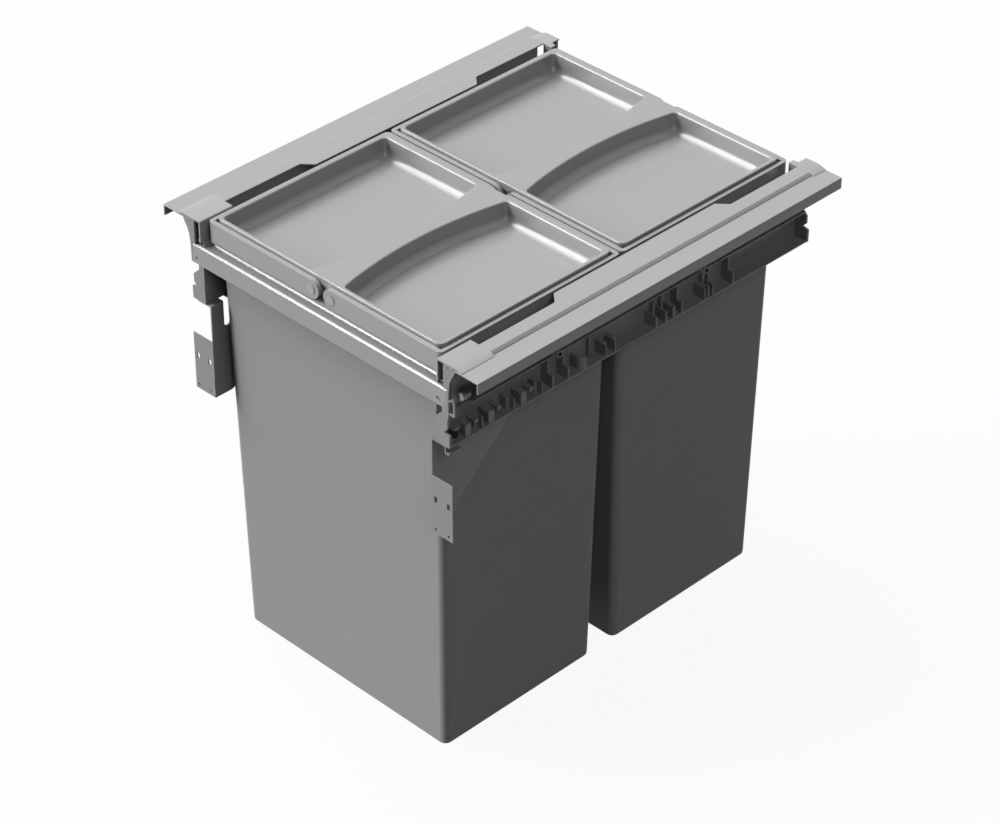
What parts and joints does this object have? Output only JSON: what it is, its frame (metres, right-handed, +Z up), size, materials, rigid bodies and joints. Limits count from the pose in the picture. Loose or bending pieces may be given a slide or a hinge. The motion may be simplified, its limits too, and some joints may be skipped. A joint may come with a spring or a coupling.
{
  "type": "pull-out trash cabinet unit",
  "caption": "Pull-out waste unit: lidded hanging bins with fold-down ring handles in a frame with side covers, on telescopic slides, with brackets for a cabinet front.",
  "frame": {"origin": "on the ground of the bins' undersides, in the middle of the overall box", "axes": "+Z up, -Y towards the front panel and the pull-out direction, +X to the right when seen from the front"},
  "size_m": [0.418, 0.4824, 0.4715],
  "materials": {
    "coated_steel": "fine satin powder coating",
    "cover_coating": "fine satin powder coating",
    "rail_steel": "zinc plated",
    "cap_plastic": "satin moulded",
    "insert_plastic": "satin moulded",
    "roller_plastic": "satin moulded",
    "pin_plastic": "satin moulded",
    "bin_plastic": "fine grained moulded",
    "lid_plastic": "silky moulded",
    "handle_plastic": "silky moulded"
  },
  "bodies": {
    "cabinet_rails": {"cabinet_rail_left": "rail_steel", "cabinet_rail_right": "rail_steel"},
    "middle_slides": {"middle_rail_left": "rail_steel", "middle_rail_right": "rail_steel", "ball_cage_left": "rail_steel", "ball_cage_right": "rail_steel"},
    "frame": {"drawer_rail_left": "rail_steel", "drawer_rail_right": "rail_steel", "cover_carrier_left": "coated_steel", "cover_carrier_right": "coated_steel", "side_channel_left": "coated_steel", "side_channel_right": "coated_steel", "clip_insert_left": "insert_plastic", "clip_insert_right": "insert_plastic", "outer_cover_left": "cover_coating", "outer_cover_right": "cover_coating", "inner_cover_left": "cover_coating", "inner_cover_right": "cover_coating", "front_cap_left": "cap_plastic", "front_cap_right": "cap_plastic", "rear_cap_left": "cap_plastic", "rear_cap_right": "cap_plastic", "front_plate_left": "coated_steel", "front_plate_right": "coated_steel", "rear_plate_left": "coated_steel", "rear_plate_right": "coated_steel", "panel_bracket_left": "coated_steel", "panel_bracket_right": "coated_steel", "front_cross_bar": "coated_steel", "rear_cross_bar": "coated_steel", "latch_lever": "coated_steel", "stop_roller": "roller_plastic"},
    "front_bin": {"front_bin": "bin_plastic", "front_bin_ledge": "bin_plastic", "front_bin_pins": "pin_plastic"},
    "front_lid": {"front_lid": "lid_plastic"},
    "front_handle_left": {"front_handle_left_grip": "handle_plastic", "front_handle_left_arm_a": "handle_plastic", "front_handle_left_arm_b": "handle_plastic"},
    "front_handle_right": {"front_handle_right_grip": "handle_plastic", "front_handle_right_arm_a": "handle_plastic", "front_handle_right_arm_b": "handle_plastic"},
    "rear_bin": {"rear_bin": "bin_plastic", "rear_bin_ledge": "bin_plastic", "rear_bin_pins": "pin_plastic"},
    "rear_lid": {"rear_lid": "lid_plastic"},
    "rear_handle_left": {"rear_handle_left_grip": "handle_plastic", "rear_handle_left_arm_a": "handle_plastic", "rear_handle_left_arm_b": "handle_plastic"},
    "rear_handle_right": {"rear_handle_right_grip": "handle_plastic", "rear_handle_right_arm_a": "handle_plastic", "rear_handle_right_arm_b": "handle_plastic"}
  },
  "joints": [
    {"name": "pull_out", "type": "slide", "parent": "cabinet_rails", "child": "frame", "axis": [0, -1, 0], "range_m": [0, 0.43]},
    {"name": "middle_slide", "type": "slide", "parent": "cabinet_rails", "child": "middle_slides", "axis": [0, -1, 0], "range_m": [0, 0.215]},
    {"name": "front_bin_lift", "type": "slide", "parent": "frame", "child": "front_bin", "axis": [0, 0, 1], "range_m": [0, 0.48]},
    {"name": "front_lid_lift", "type": "slide", "parent": "front_bin", "child": "front_lid", "axis": [0, 0, 1], "range_m": [0, 0.1]},
    {"name": "front_handle_left_hinge", "type": "hinge", "parent": "front_bin", "child": "front_handle_left", "pos_m": [-0.013, -0.11925, 0.4583], "axis": [0, 1, 0], "range_deg": [0, 90]},
    {"name": "front_handle_right_hinge", "type": "hinge", "parent": "front_bin", "child": "front_handle_right", "pos_m": [0.013, -0.11925, 0.4583], "axis": [0, -1, 0], "range_deg": [0, 90]},
    {"name": "rear_bin_lift", "type": "slide", "parent": "frame", "child": "rear_bin", "axis": [0, 0, 1], "range_m": [0, 0.48]},
    {"name": "rear_lid_lift", "type": "slide", "parent": "rear_bin", "child": "rear_lid", "axis": [0, 0, 1], "range_m": [0, 0.1]},
    {"name": "rear_handle_left_hinge", "type": "hinge", "parent": "rear_bin", "child": "rear_handle_left", "pos_m": [-0.013, 0.11175, 0.4583], "axis": [0, 1, 0], "range_deg": [0, 90]},
    {"name": "rear_handle_right_hinge", "type": "hinge", "parent": "rear_bin", "child": "rear_handle_right", "pos_m": [0.013, 0.11175, 0.4583], "axis": [0, -1, 0], "range_deg": [0, 90]}
  ],
  "couplings": [
    {"joint": "middle_slide", "follows": "pull_out", "ratio": 0.5}
  ]
}
